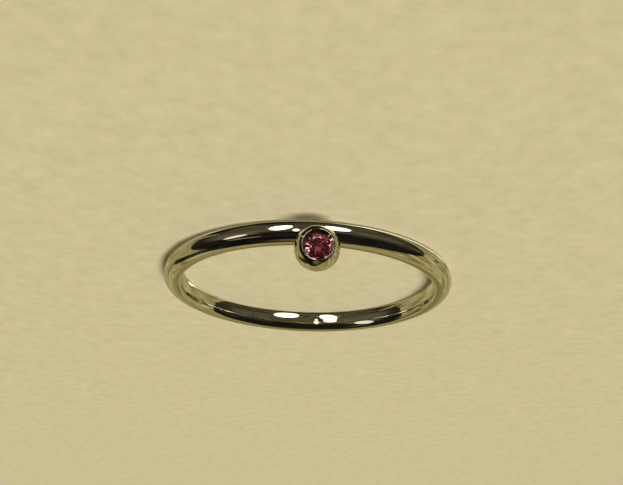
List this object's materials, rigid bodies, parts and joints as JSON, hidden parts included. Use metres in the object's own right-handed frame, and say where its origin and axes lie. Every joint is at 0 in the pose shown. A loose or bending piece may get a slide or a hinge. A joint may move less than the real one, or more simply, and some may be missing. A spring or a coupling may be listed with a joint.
{
  "type": "stacking ring",
  "caption": "Thin D-section stacking ring of polished white gold, with a soldered ball on its front shoulder that holds a small round red stone.",
  "frame": {"origin": "centre of the finger hole, half way through the band's width", "axes": "+Z along the finger hole's axis, out of the front edge that the ball leans over; the ball stands on the -Y side; +X completes a right-handed frame. The ring lies on its back edge, in the plane Z = -0.7 mm"},
  "size_m": [0.0192, 0.0207, 0.0034],
  "materials": {
    "polished_white_gold": "mirror polish",
    "red_stone": "polished facets"
  },
  "bodies": {
    "root": {"band_and_setting": "polished_white_gold", "stone": "red_stone"}
  },
  "joints": []
}
